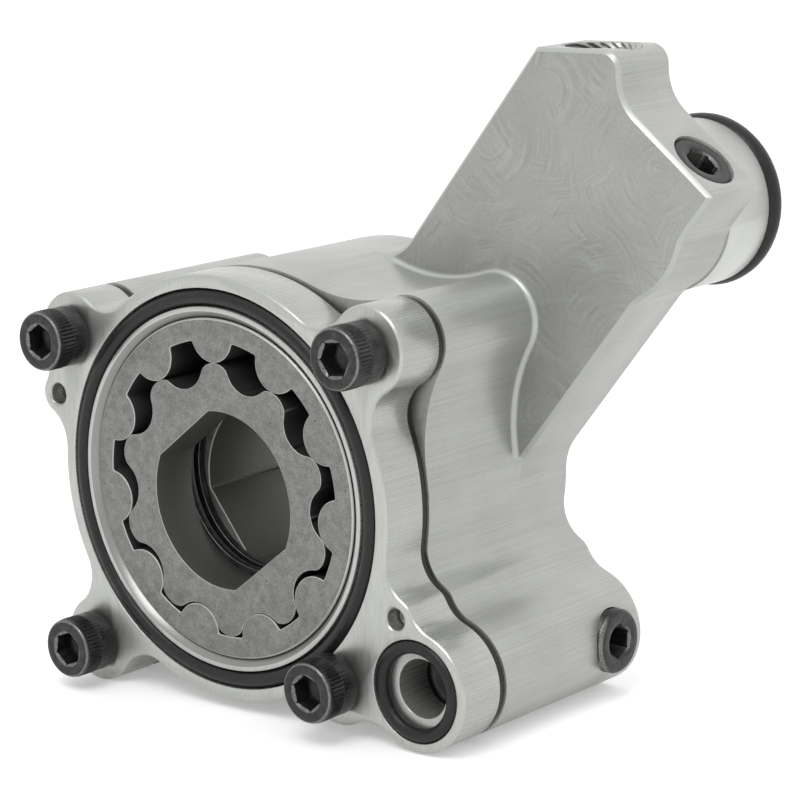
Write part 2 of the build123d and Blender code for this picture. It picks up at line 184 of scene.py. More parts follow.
class FinishSheet(NodeSheet):
    """The node sheet of one finish."""

    def __init__(self, name: str) -> None:
        """Start a sheet that holds only a surface and its output.

        Args:
            name: name of the material.
        """
        self.material = bpy.data.materials.new(name)
        self.material.use_nodes = True
        super().__init__(self.material.node_tree)
        self.surface = self.add("ShaderNodeBsdfPrincipled")
        self.add("ShaderNodeOutputMaterial", {"Surface": self.surface.outputs["BSDF"]})
        coordinates = self.add("ShaderNodeTexCoord")
        self.place: Socket = coordinates.outputs["Object"]
        self.facing: Socket = coordinates.outputs["Normal"]
        # The normal of each flat face, in the piece's own directions
        to_piece = self.add(
            "ShaderNodeVectorTransform", vector_type="NORMAL", convert_from="WORLD", convert_to="OBJECT"
        )
        self.join(self.add("ShaderNodeNewGeometry").outputs["True Normal"], to_piece.inputs[0])
        self.flat_facing: Socket = to_piece.outputs[0]

    def parts_of(self, vector: Socket) -> list[Socket]:
        """Split a vector.

        Args:
            vector: the vector.

        Returns:
            Its X, Y and Z.
        """
        node = self.add("ShaderNodeSeparateXYZ")
        self.join(vector, node.inputs[0])
        return list(node.outputs)

    def forwards(self, facing: Socket) -> Socket:
        """How squarely a normal looks out of the mounting face, from -1 to 1."""
        return self.number("MULTIPLY", self.parts_of(facing)[1], -1.0)

    def reach(self, x_mm: float, z_mm: float) -> Socket:
        """Distance from an axis that is parallel to the pump axis.

        Args:
            x_mm: X of the axis.
            z_mm: Z of the axis.

        Returns:
            The distance in millimetres.
        """
        x, _, z = self.parts_of(self.place)
        across = self.number("MULTIPLY_ADD", x, 1.0 / MM, -x_mm)
        up = self.number("MULTIPLY_ADD", z, 1.0 / MM, -z_mm)
        square = self.number("MULTIPLY_ADD", across, across, self.number("MULTIPLY", up, up))
        return self.number("SQRT", square)

    def combine(self, x: Value, y: Value, z: Value) -> Socket:
        """Make a vector from three values.

        Args:
            x: its X.
            y: its Y.
            z: its Z.

        Returns:
            The vector.
        """
        node = self.add("ShaderNodeCombineXYZ")
        self.feed_all(node, x, y, z)
        return node.outputs[0]

    def noise(self, place: Socket, detail: float = 2.0, roughness: float = 0.5) -> Socket:
        """Noise at a scaled place, with features one unit wide and some finer layers of a strength."""
        inputs = {"Scale": 1.0, "Detail": detail, "Roughness": roughness, "Vector": place}
        return self.add("ShaderNodeTexNoise", inputs).outputs[0]

    def spots(self, size_mm: float, detail: float = 2.0, roughness: float = 0.5) -> Socket:
        """Noise over the whole piece, with spots of a size in millimetres."""
        scale = 1.0 / (size_mm * MM)
        return self.noise(self.vector("MULTIPLY", self.place, (scale,) * 3), detail, roughness)

    def front_corners(self, start: Span, end: Span) -> Socket:
        """Mask of the corners round the faces that look out of the mounting face.

        Args:
            start: forward parts of the normal over which a corner begins.
            end: forward parts over which it becomes a face.

        Returns:
            The mask.
        """
        forwards = self.forwards(self.facing)
        off_face = self.between(forwards, *end, 1.0, 0.0)
        return self.number("MULTIPLY", self.between(forwards, *start), off_face)

    def cells(self, place: Socket, randomness: float, flat: bool) -> dict[str, Socket]:
        """Add a cell pattern with cells one unit wide.

        Args:
            place: where the pattern is read, already scaled.
            randomness: how irregular the cells are.
            flat: use only X and Y.

        Returns:
            The distance, colour and position sockets by name.
        """
        inputs = {"Scale": 1.0, "Randomness": randomness, "Vector": place}
        node = self.add("ShaderNodeTexVoronoi", inputs, voronoi_dimensions="2D" if flat else "3D")
        return {key: node.outputs[key] for key in ("Distance", "Color", "Position")}

    def mixed(self, first: Socket, second: Socket, share: float) -> Socket:
        """Add two patterns, the second with its share and the first with what is left of 1."""
        return self.number("MULTIPLY_ADD", first, 1.0 - share, self.number("MULTIPLY", second, share))

    def blend(self, factor: Socket, first: Value, second: Value) -> Socket:
        """Mix two colours or vectors by a factor.

        Args:
            factor: 0 gives the first and 1 the second.
            first: socket or triple.
            second: socket or triple.

        Returns:
            The mixed colour.
        """
        node = self.add("ShaderNodeMix", data_type="RGBA")
        self.join(factor, node.inputs[0])
        for target, value in ((node.inputs[6], first), (node.inputs[7], second)):
            self.feed(target, (*value, 1.0) if isinstance(value, tuple) else value)
        return node.outputs[2]

    def relief(self, height: Socket, depth_mm: float, below: Optional[Socket] = None) -> Socket:
        """Add a bump.

        Args:
            height: pattern from 0 to 1.
            depth_mm: height of the pattern's full range.
            below: a normal that this bump lies on.

        Returns:
            The normal socket.
        """
        inputs = {"Strength": 1.0, "Distance": depth_mm * MM, "Height": height}
        if below is not None:
            inputs["Normal"] = below
        return self.add("ShaderNodeBump", inputs).outputs["Normal"]

    def finish(self, colour: Socket, roughness: Socket, metallic: Value, normal: Socket) -> None:
        """Feed the surface.

        Args:
            colour: its colour.
            roughness: its roughness.
            metallic: how metallic it is.
            normal: its normal.
        """
        values = {"Base Color": colour, "Roughness": roughness, "Metallic": metallic, "Normal": normal}
        for key, value in values.items():
            self.feed(self.surface.inputs[key], value)


@dataclass(frozen=True)
class CutterSwirls:
    """Rings round scattered centres, as an end mill leaves them on a face."""

    size_mm: float                  # distance between the centres
    shift_mm: float                 # moves the whole pattern
    ring_mm: float = 0.62           # distance between the rings
    scatter: float = 0.75           # how irregular the centres are
    wavers: float = 3.0             # waves of a ring in one swirl
    waver_depth: float = 0.05
    breaks: float = 2.2             # how often a ring fades along its way
    patches: float = 4.2            # worn patches in one swirl
    patch_range: Span = (0.46, 0.64)
    patch_depth: Span = (0.2, 2.4)  # depth of the rings in and off a patch

    def build(self, sheet: FinishSheet) -> tuple[Socket, Socket]:
        """Add the rings to a sheet.

        Args:
            sheet: the node sheet.

        Returns:
            The ring pattern and the direction away from each centre.
        """
        x, _, z = sheet.parts_of(sheet.place)
        shift = self.shift_mm * MM
        scale = 1.0 / (self.size_mm * MM)
        moved = sheet.vector("ADD", sheet.combine(x, z, 0.0), (shift, shift, 0.0))
        flat = sheet.vector("MULTIPLY", moved, (scale, scale, 1.0))
        cells = sheet.cells(flat, self.scatter, flat=True)
        away = sheet.vector("SUBTRACT", flat, cells["Position"])
        across, up, _ = sheet.parts_of(away)
        waves = sheet.noise(sheet.vector("MULTIPLY", flat, (self.wavers,) * 3))
        distance = sheet.number("MULTIPLY_ADD", waves, self.waver_depth, cells["Distance"])
        rings = sheet.number("MULTIPLY", distance, self.size_mm / self.ring_mm)
        along = sheet.number("MULTIPLY", across, self.breaks)
        lines = sheet.noise(sheet.combine(rings, along, 0.0), detail=3.0, roughness=0.6)
        worn = sheet.noise(sheet.vector("MULTIPLY", flat, (self.patches,) * 3))
        depth = sheet.between(worn, *self.patch_range, *self.patch_depth)
        pattern = sheet.number("MULTIPLY_ADD", sheet.number("SUBTRACT", lines, 0.5), depth, 0.5)
        return pattern, sheet.combine(across, 0.0, up)


@dataclass(frozen=True)
class MachinedAluminium:
    """Bare billet aluminium: cutter streaks on its walls and a pattern on its faces.

    Squareness is 0 on a wall along the pump axis and 1 on a face square to it.
    """

    name: str
    pattern: FacePattern
    colour: Triple = (0.50, 0.51, 0.485)
    dull_colour: Triple = (0.38, 0.387, 0.367)
    # painted highlight on the front corners and chamfers
    corner_highlight_colour: Triple = (0.44, 0.45, 0.43)
    pocket_shade_colour: Triple = (0.25, 0.255, 0.245)  # painted shade on the chamfer of the rotor pocket
    pocket_mm: float = 28.2         # reach of that chamfer from the rotor axis
    pocket_fade_mm: float = 0.5
    shade: Span = (0.87, 1.0)       # walls and faces against the colours above
    roughness: Span = (0.28, 0.40)  # of walls and of faces
    metallic: Span = (0.66, 0.90)
    anisotropy: float = 0.25
    wall_to_face: Span = (0.86, 0.97)  # squareness where a wall becomes a face
    streak_fade: Span = (0.15, 0.40)  # squareness where the streaks end
    corner_start: Span = (0.30, 0.50)
    corner_end: Span = (0.88, 0.96)
    streak_mm: float = 0.18         # width of a cutter streak on the walls
    streak_stretch: float = 110.0   # its length over its width
    band_mm: float = 1.3            # width of the broad bands
    streak_share: float = 0.8       # share of the streaks, beside the bands
    lap_width_mm: float = 0.25      # width and length of a lapping mark on the faces
    lap_length_mm: float = 4.0
    swirls: CutterSwirls = CutterSwirls(size_mm=23.0, shift_mm=3.0)
    crossing_swirls: CutterSwirls = CutterSwirls(size_mm=31.51, shift_mm=41.0)
    crossing_share: float = 0.4
    grain_mm: float = 0.16          # fine grain over everything
    smudge_mm: float = 7.143        # soft stains
    pattern_weight: float = 0.6     # weights in the tone
    grain_weight: float = 0.4
    smudge_weight: float = 0.2
    tone_range: Span = (0.42, 0.78)
    roughness_spread: float = 0.16  # how far the pattern moves the roughness
    pattern_relief_mm: float = 0.006
    grain_relief_mm: float = 0.0015
    turned_axis: Span = (51.6, 41.0)  # X and Z of the spigot, turned bright
    turned_radius_mm: float = 13.2
    turned_from_mm: float = 44.1
    turned_shade: float = 0.28      # added to the shade of the walls there
    turned_metallic: float = 0.4

    def turned(self, sheet: FinishSheet) -> Socket:
        """Mask of the turned spigot.

        Args:
            sheet: the node sheet.

        Returns:
            1 on the spigot and 0 elsewhere.
        """
        inside = sheet.number("LESS_THAN", sheet.reach(*self.turned_axis), self.turned_radius_mm)
        behind = sheet.number("GREATER_THAN", sheet.parts_of(sheet.place)[1], self.turned_from_mm * MM)
        return sheet.number("MULTIPLY", inside, behind)

    def streaks(self, sheet: FinishSheet, width_mm: float) -> Socket:
        """Noise stretched along the pump axis.

        Args:
            sheet: the node sheet.
            width_mm: width of a streak.

        Returns:
            The value socket.
        """
        across = 1.0 / (width_mm * MM)
        place = sheet.vector("MULTIPLY", sheet.place, (across, across / self.streak_stretch, across))
        return sheet.noise(place, detail=3.0, roughness=0.6)

    def wall_marks(self, sheet: FinishSheet, squareness: Socket, turned: Socket) -> Socket:
        """Streaks and bands on the milled walls, which fade towards their edges.

        Args:
            sheet: the node sheet.
            squareness: how square the surface is to the pump axis.
            turned: mask of the turned spigot, which has no streaks.

        Returns:
            The pattern, 0.5 where there is no mark.
        """
        bands = self.streaks(sheet, self.band_mm)
        marks = sheet.mixed(bands, self.streaks(sheet, self.streak_mm), self.streak_share)
        milled = sheet.number("SUBTRACT", 1.0, turned)
        depth = sheet.number("MULTIPLY", sheet.between(squareness, *self.streak_fade, 1.0, 0.0), milled)
        return sheet.number("MULTIPLY_ADD", sheet.number("SUBTRACT", marks, 0.5), depth, 0.5)

    def face_marks(self, sheet: FinishSheet) -> tuple[Socket, Socket]:
        """Swirls or lapping marks on the faces.

        Args:
            sheet: the node sheet.

        Returns:
            The pattern and the direction across its marks.
        """
        if self.pattern is FacePattern.SWIRLED:
            first, away = self.swirls.build(sheet)
            second, _ = self.crossing_swirls.build(sheet)
            return sheet.mixed(first, second, self.crossing_share), away
        scales = (1.0 / (self.lap_width_mm * MM), 1.0, 1.0 / (self.lap_length_mm * MM))
        marks = sheet.noise(sheet.vector("MULTIPLY", sheet.place, scales), detail=3.0, roughness=0.6)
        return marks, sheet.combine(1.0, 0.0, 0.0)

    def painted(
        self, sheet: FinishSheet, squareness: Socket, turned: Socket, marks: Socket, grain: Socket
    ) -> Socket:
        """Colour of the metal with its marks and stains, a painted highlight on its front corners and
        painted shade on the chamfer of the rotor pocket.

        Args:
            sheet: the node sheet.
            squareness: how square the surface is to the pump axis.
            turned: mask of the turned spigot.
            marks: the tool marks.
            grain: the fine grain.

        Returns:
            The colour.
        """
        smudge = sheet.number("MULTIPLY", sheet.spots(self.smudge_mm, detail=4.0), self.smudge_weight)
        shade = sheet.number("MULTIPLY_ADD", grain, self.grain_weight, smudge)
        shade = sheet.number("MULTIPLY_ADD", marks, self.pattern_weight, shade)
        tone = sheet.between(shade, *self.tone_range)
        level = sheet.between(squareness, *self.wall_to_face, *self.shade)
        level = sheet.number("MULTIPLY_ADD", turned, self.turned_shade, level)
        metal = sheet.blend(tone, self.dull_colour, self.colour)
        plain = sheet.vector("MULTIPLY", metal, sheet.combine(level, level, level))
        # Painted highlight on the front corners, with painted shade on the chamfer of the rotor pocket
        reach = sheet.reach(0.0, 0.0)
        off_pocket_shade = sheet.between(reach, self.pocket_mm, self.pocket_mm + self.pocket_fade_mm)
        painted_corner = sheet.blend(off_pocket_shade, self.pocket_shade_colour, self.corner_highlight_colour)
        on_corner_highlight = sheet.front_corners(self.corner_start, self.corner_end)
        return sheet.blend(on_corner_highlight, plain, painted_corner)

    def build(self) -> bpy.types.Material:
        """Build the material.

        Returns:
            The material.
        """
        sheet = FinishSheet(self.name)
        squareness = sheet.number("ABSOLUTE", sheet.parts_of(sheet.facing)[1])
        on_face = sheet.between(squareness, *self.wall_to_face)
        turned = self.turned(sheet)
        wall = self.wall_marks(sheet, squareness, turned)
        face, across_face = self.face_marks(sheet)
        on_wall = sheet.number("SUBTRACT", 1.0, on_face)
        marks = sheet.number("MULTIPLY_ADD", wall, on_wall, sheet.number("MULTIPLY", face, on_face))
        grain = sheet.spots(self.grain_mm)
        spread = sheet.number("MULTIPLY_ADD", marks, self.roughness_spread, -self.roughness_spread / 2)
        roughness = sheet.between(squareness, *self.wall_to_face, *self.roughness)
        metallic = sheet.between(squareness, *self.wall_to_face, *self.metallic)
        sheet.finish(
            self.painted(sheet, squareness, turned, marks, grain),
            sheet.number("ADD", roughness, spread),
            sheet.number("MULTIPLY_ADD", turned, self.turned_metallic, metallic),
            sheet.relief(marks, self.pattern_relief_mm, sheet.relief(grain, self.grain_relief_mm)),
        )
        sheet.surface.inputs["Anisotropic"].default_value = self.anisotropy
        across_wall = sheet.vector("CROSS_PRODUCT", sheet.facing, (0.0, 1.0, 0.0))
        sheet.feed(sheet.surface.inputs["Tangent"], sheet.blend(on_face, across_wall, across_face))
        return sheet.material


@dataclass(frozen=True)
class SinteredSteel:
    """Pressed and sintered steel: matte grey with a fine grain and small pits, painted shade on its walls
    and a partly painted highlight on its front corners.
    """

    name: str
    colour: Triple = (0.26, 0.265, 0.25)
    dark_colour: Triple = (0.13, 0.132, 0.126)
    pit_colour: Triple = (0.05, 0.05, 0.048)
    bore_shade_colour: Triple = (0.105, 0.107, 0.098)  # painted shade inside the drive bores
    flank_shade_colour: Triple = (0.048, 0.049, 0.049)  # painted shade on the flanks of the lobes
    corner_highlight_colour: Triple = (0.52, 0.53, 0.50)  # front corners, partly worn and partly a painted highlight
    bore_reach: Span = (15.0, 17.0)  # from the drive bore to the lobes
    wall_to_corner: Span = (0.2, 0.35)  # forward parts of the normal
    corner_to_face: Span = (0.9, 0.97)
    grain_mm: float = 0.22
    cloud_mm: float = 1.32
    cloud_share: float = 0.3
    tone_range: Span = (0.36, 0.64)
    pit_mm: float = 1.1             # distance between pits
    pit_chance: Span = (0.55, 1.0)
    pit_size: float = 0.13          # radius of the largest, as a share of that distance
    pit_depth: float = 2.0          # against the grain
    roughness: Span = (0.40, 0.62)
    metallic: float = 0.55
    relief_mm: float = 0.02

    def build(self) -> bpy.types.Material:
        """Build the material.

        Returns:
            The material.
        """
        sheet = FinishSheet(self.name)
        grain = sheet.spots(self.grain_mm, detail=3.0, roughness=0.7)
        cloud = sheet.spots(self.cloud_mm, detail=4.0)
        tone = sheet.between(sheet.mixed(grain, cloud, self.cloud_share), *self.tone_range)
        scale = 1.0 / (self.pit_mm * MM)
        cells = sheet.cells(sheet.vector("MULTIPLY", sheet.place, (scale,) * 3), 1.0, flat=False)
        chance = sheet.parts_of(cells["Color"])[0]
        size = sheet.between(chance, *self.pit_chance, 0.0, self.pit_size)
        pits = sheet.number("LESS_THAN", cells["Distance"], size)
        face = sheet.blend(pits, sheet.blend(tone, self.dark_colour, self.colour), self.pit_colour)
        # Walls take painted shade: dark in the drive bore and darker still on the lobe flanks
        on_flank = sheet.between(sheet.reach(0.0, 0.0), *self.bore_reach)
        wall = sheet.blend(on_flank, self.bore_shade_colour, self.flank_shade_colour)
        # Lighter front corners: partly wear, partly a painted highlight
        forwards = sheet.forwards(sheet.flat_facing)
        painted_corner = sheet.blend(sheet.between(forwards, *self.wall_to_corner), wall, self.corner_highlight_colour)
        sheet.finish(
            sheet.blend(sheet.between(forwards, *self.corner_to_face), painted_corner, face),
            sheet.between(grain, *NOISE_RANGE, *self.roughness),
            self.metallic,
            sheet.relief(sheet.number("MULTIPLY_ADD", pits, -self.pit_depth, grain), self.relief_mm),
        )
        return sheet.material


@dataclass(frozen=True)
class BlackOxide:
    """Blackened steel with a slight oil sheen; its front corners are lighter, partly as thinner coating
    where it is handled and partly as a painted highlight.
    """

    name: str
    colour: Triple = (0.022, 0.022, 0.023)
    worn_colour: Triple = (0.050, 0.049, 0.047)
    # front corners: partly wear, partly a painted highlight
    corner_highlight_colour: Triple = (0.20, 0.195, 0.185)
    corner_start: Span = (0.3, 0.6)
    corner_end: Span = (0.86, 0.98)
    corner_grain: tuple[float, float, float, float] = (0.3, 0.6, 0.3, 1.0)  # makes the lighter corners uneven
    cloud_mm: float = 1.4286
    grain_mm: float = 0.2
    tone_range: Span = (0.4, 0.72)
    roughness: Span = (0.27, 0.44)
    metallic: float = 0.6
    relief_mm: float = 0.008

    def build(self) -> bpy.types.Material:
        """Build the material.

        Returns:
            The material.
        """
        sheet = FinishSheet(self.name)
        cloud = sheet.spots(self.cloud_mm, detail=4.0, roughness=0.6)
        grain = sheet.spots(self.grain_mm)
        body = sheet.blend(sheet.between(cloud, *self.tone_range), self.colour, self.worn_colour)
        # Lighter front corners, partly wear and partly a painted highlight
        corners = sheet.front_corners(self.corner_start, self.corner_end)
        worn = sheet.number("MULTIPLY", corners, sheet.between(grain, *self.corner_grain))
        sheet.finish(
            sheet.blend(worn, body, self.corner_highlight_colour),
            sheet.between(cloud, *NOISE_RANGE, *self.roughness),
            self.metallic,
            sheet.relief(grain, self.relief_mm),
        )
        return sheet.material


@dataclass(frozen=True)
class BlackRubber:
    """Black sealing rubber with a soft sheen and fine dust."""

    name: str
    colour: Triple = (0.012, 0.012, 0.013)
    dusty_colour: Triple = (0.028, 0.028, 0.029)
    dust_mm: float = 0.625
    dust_range: Span = (0.5, 0.8)
    roughness: Span = (0.28, 0.48)
    sheen: float = 0.28             # specular level
    relief_mm: float = 0.006

    def build(self) -> bpy.types.Material:
        """Build the material.

        Returns:
            The material.
        """
        sheet = FinishSheet(self.name)
        dust = sheet.spots(self.dust_mm, detail=4.0, roughness=0.7)
        sheet.finish(
            sheet.blend(sheet.between(dust, *self.dust_range), self.colour, self.dusty_colour),
            sheet.between(dust, *NOISE_RANGE, *self.roughness),
            0.0,
            sheet.relief(dust, self.relief_mm),
        )
        sheet.surface.inputs["Specular IOR Level"].default_value = self.sheen
        return sheet.material


@dataclass(frozen=True)
class GroundSteel:
    """Ground steel with fine concentric marks."""

    name: str
    colour: Triple = (0.5, 0.5, 0.49)
    dull_colour: Triple = (0.36, 0.36, 0.35)
    rings_per_mm: float = 6.0
    cloud_mm: float = 3.3333
    cloud_share: float = 0.4
    tone_range: Span = (0.35, 0.65)
    roughness: Span = (0.26, 0.40)
    relief_mm: float = 0.006

    def build(self) -> bpy.types.Material:
        """Build the material.

        Returns:
            The material.
        """
        sheet = FinishSheet(self.name)
        along = sheet.number("MULTIPLY", sheet.reach(0.0, 0.0), self.rings_per_mm)
        rings = sheet.noise(sheet.combine(along, 0.0, 0.0), detail=3.0)
        cloud = sheet.spots(self.cloud_mm, detail=3.0)
        tone = sheet.between(sheet.mixed(rings, cloud, self.cloud_share), *self.tone_range)
        sheet.finish(
            sheet.blend(tone, self.dull_colour, self.colour),
            sheet.between(rings, *NOISE_RANGE, *self.roughness),
            1.0,
            sheet.relief(rings, self.relief_mm),
        )
        return sheet.material


class Finishes:
    """All finishes of the pump, built once."""

    def __init__(self) -> None:
        """Build every finish."""
        self.face_aluminium = MachinedAluminium("machined_aluminium_front", FacePattern.LAPPED).build()
        # The body's front corners take a weaker painted highlight and no painted pocket shade
        self.arm_aluminium = MachinedAluminium(
            "machined_aluminium_body", FacePattern.SWIRLED,
            corner_highlight_colour=(0.42, 0.43, 0.41), pocket_mm=0.0, shade=(0.84, 0.77), roughness=(0.36, 0.42),
            metallic=(0.5, 0.75),
        ).build()
        self.sintered = SinteredSteel("sintered_steel").build()
        self.black = BlackOxide("black_oxide_steel").build()
        self.rubber = BlackRubber("black_rubber").build()
        self.ground = GroundSteel("ground_steel").build()


# ------------------------------------------------------------------ meshes


def circle(centre: Vector, radius: Radius, y: float, count: int) -> Loop:
    """Points round an axis that runs along the pump axis.

    Args:
        centre: centre, of which X and Z are used, in millimetres.
        radius: the radius.
        y: depth.
        count: number of points.

    Returns:
        The points in metres.
    """
    points = []
    for i in range(count):
        angle = 2 * math.pi * i / count
        reach = radius(angle) if callable(radius) else radius
        place = Vector((centre.x + reach * math.cos(angle), y, centre.z + reach * math.sin(angle)))
        points.append(place * MM)
    return points


def hexagon(across_flats: float, turn: float) -> Callable[[float], float]:
    """Radius of a hexagon by angle, for a width across flats and the degrees of one corner."""
    sixth = math.pi / 3
    return lambda angle: across_flats / 2 / math.cos((angle - math.radians(turn)) % sixth - sixth / 2)


def groove(phase: float, root: float, slope: float, crest: float = 0.0) -> float:
    """Share of a thread's depth, from the crest over a sloping flank to the root, cut off at 1."""
    return min(1.0, max(crest, root - slope * abs(phase % 1.0 - 0.5)))


def aimed(place: Vector, direction: Vector) -> Matrix:
    """Matrix that turns +Y along a direction and moves the origin to a place in millimetres."""
    turn = Vector((0.0, 1.0, 0.0)).rotation_difference(direction.normalized())
    return Matrix.Translation(place * MM) @ turn.to_matrix().to_4x4()


def skin(name: str, loops: list[Loop], closed: bool = False) -> bpy.types.Object:
    """Join loops of equal length into a skin of quads.

    Args:
        name: name of the object.
        loops: the loops, in order.
        closed: join the last loop to the first instead of filling both ends.

    Returns:
        The object.
    """
    mesh = bmesh.new()
    rows = [[mesh.verts.new(point) for point in loop] for loop in loops]
    following = rows[1:] + rows[:1] if closed else rows[1:]
    for first, second in zip(rows, following):
        for i, point in enumerate(first):
            j = (i + 1) % len(first)
            mesh.faces.new((point, first[j], second[j], second[i]))
    if not closed:
        mesh.faces.new(rows[0])
        mesh.faces.new(rows[-1])
    bmesh.ops.recalc_face_normals(mesh, faces=mesh.faces)
    return finished(name, mesh)


def lathed(
    name: str, profile: Profile, centre: Vector, count: int, move: Matrix = UNMOVED, closed: bool = False
) -> bpy.types.Object:
    """Turn a profile round an axis along the pump axis, with a count of points, and move it."""
    loops = [[move @ point for point in circle(centre, radius, y, count)] for radius, y in profile]
    return skin(name, loops, closed)


def placed(name: str, data: bpy.types.ID) -> bpy.types.Object:
    """Make an object and link it to the scene.

    Args:
        name: name of the object.
        data: its mesh, lamp or camera.

    Returns:
        The object.
    """
    thing = bpy.data.objects.new(name, data)
    bpy.context.scene.collection.objects.link(thing)
    return thing


def finished(name: str, mesh: bmesh.types.BMesh) -> bpy.types.Object:
    """Turn a bmesh into an object with smooth faces and sharp corners.

    Args:
        name: name of the object.
        mesh: the bmesh, which is freed.

    Returns:
        The object, linked to the scene.
    """
    data = bpy.data.meshes.new(name)
    mesh.to_mesh(data)
    mesh.free()
    data.shade_smooth()
    data.set_sharp_from_angle(angle=math.radians(SHARP_DEGREES))
    return placed(name, data)


def axial(edge: bmesh.types.BMEdge) -> bool:
    """Whether an edge runs along the pump axis."""
    return abs((edge.verts[0].co - edge.verts[1].co).normalized().y) > AXIAL


def edged_copy(
    node: str, name: str, edge_mm: float, steps: int = 2, rims_only: bool = False
) -> bpy.types.Object:
    """A copy of a node's solid with its edges broken.

    Args:
        node: the CAD node.
        name: name of the new piece.
        edge_mm: width of the broken edges.
        steps: faces across each broken edge.
        rims_only: whether the edges that run along the pump axis stay sharp.

    Returns:
        The piece.
    """
    mesh = bmesh.new()
    mesh.from_mesh(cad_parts[node].data)
    bmesh.ops.remove_doubles(mesh, verts=mesh.verts, dist=MERGE_MM * MM)
    bmesh.ops.dissolve_limit(
        mesh, angle_limit=math.radians(FLAT_DEGREES), use_dissolve_boundaries=False,
        verts=mesh.verts, edges=mesh.edges,
    )
    corners = [
        edge for edge in mesh.edges
        if len(edge.link_faces) == 2 and edge.calc_face_angle() > math.radians(CORNER_DEGREES)
        and not (rims_only and axial(edge))
    ]
    bmesh.ops.bevel(
        mesh, geom=corners, offset=edge_mm * MM, offset_type="OFFSET", segments=steps, profile=0.5,
        affect="EDGES", clamp_overlap=True, miter_outer="ARC",
    )
    return finished(name, mesh)


def scored(piece: bpy.types.Object, width_mm: float) -> None:
    """Cut a groove along each shallow corner of a rotor's bore.

    Args:
        piece: the rotor.
        width_mm: width of the grooves, which are half as deep.
    """
    shallow = (24, 31)      # degrees
    shortest = 5 * MM
    inset = 0.03 * MM
    mesh = bmesh.new()
    mesh.from_mesh(piece.data)
    corners = [
        edge for edge in mesh.edges
        if len(edge.link_faces) == 2 and shallow[0] < math.degrees(edge.calc_face_angle()) < shallow[1]
        and axial(edge) and edge.calc_length() > shortest
    ]
    offset = width_mm / 2 * MM
    made = bmesh.ops.bevel(
        mesh, geom=corners, offset=offset, offset_type="OFFSET", segments=1, profile=0.5, affect="EDGES"
    )
    bmesh.ops.inset_region(mesh, faces=made["faces"], thickness=inset, depth=-offset)
    LOG.info("%s has %d grooves", piece.name, len(corners))
    mesh.to_mesh(piece.data)
    mesh.free()


def dress(piece: bpy.types.Object, material: bpy.types.Material, body: Body, slot: str, *nodes: str) -> None:
    """Give a piece its finish and body, and hide the CAD nodes it stands for.

    Args:
        piece: the piece.
        material: its finish.
        body: the body it rides on.
        slot: not used.
        nodes: CAD nodes that it replaces.
    """
    piece.data.materials.clear()
    piece.data.materials.append(material)
    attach(piece, body.value)
    if nodes:
        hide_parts(*nodes)
    LOG.info("%s: %d faces", piece.name, len(piece.data.polygons))


# ------------------------------------------------------------------ housings


@dataclass
class Housings:
    """Front housing, seal and pump body with the arm and the spigot."""

    edge_mm: float = 0.12
    seal_edge_mm: float = 0.55

    def build(self, finishes: Finishes) -> None:
        """Build and dress the three pieces.

        Args:
            finishes: the finishes.
        """
        front = edged_copy("front_housing", "front_cover", self.edge_mm)
        dress(front, finishes.face_aluminium, Body.HOUSING, "housing_aluminium", "front_housing")
        body = edged_copy("pump_body", "machined_body", self.edge_mm)
        dress(body, finishes.arm_aluminium, Body.HOUSING, "housing_aluminium", "pump_body")
        seal = edged_copy("housing_seal", "rounded_seal", self.seal_edge_mm, 4)
        dress(seal, finishes.rubber, Body.HOUSING, "rubber", "housing_seal")


# ------------------------------------------------------------------ screws, plugs and seals


@dataclass(frozen=True)
class HexSocket:
    """Hexagon socket between a drilled tip and a bevelled mouth."""

    depth: float
    tip_r: float
    tip_step: float                 # from the end of the flats to the tip's rim
    tip_depth: float
    flats_from: float               # behind the face that it opens on
    bevel_r: float
    mouth_r: float
    mouth_edge: float
    rim_r: float
    bevel_from: float = 0.3
    across_flats: float = 4.7625

    def profile(self, front: float, turn: float) -> Profile:
        """Its loops, from the tip to the rim.

        Args:
            front: depth of the face that it opens on.
            turn: angle of one corner, in degrees.

        Returns:
            The profile.
        """
        sides = hexagon(self.across_flats, turn)
        floor = front + self.depth
        return [
            (AXIS_R, floor + self.tip_depth), (self.tip_r, floor + self.tip_step),
            (sides, floor), (sides, front + self.flats_from),
            (lambda angle: max(sides(angle), self.bevel_r), front + self.bevel_from),
            (self.mouth_r, front + self.mouth_edge), (self.rim_r, front),
        ]


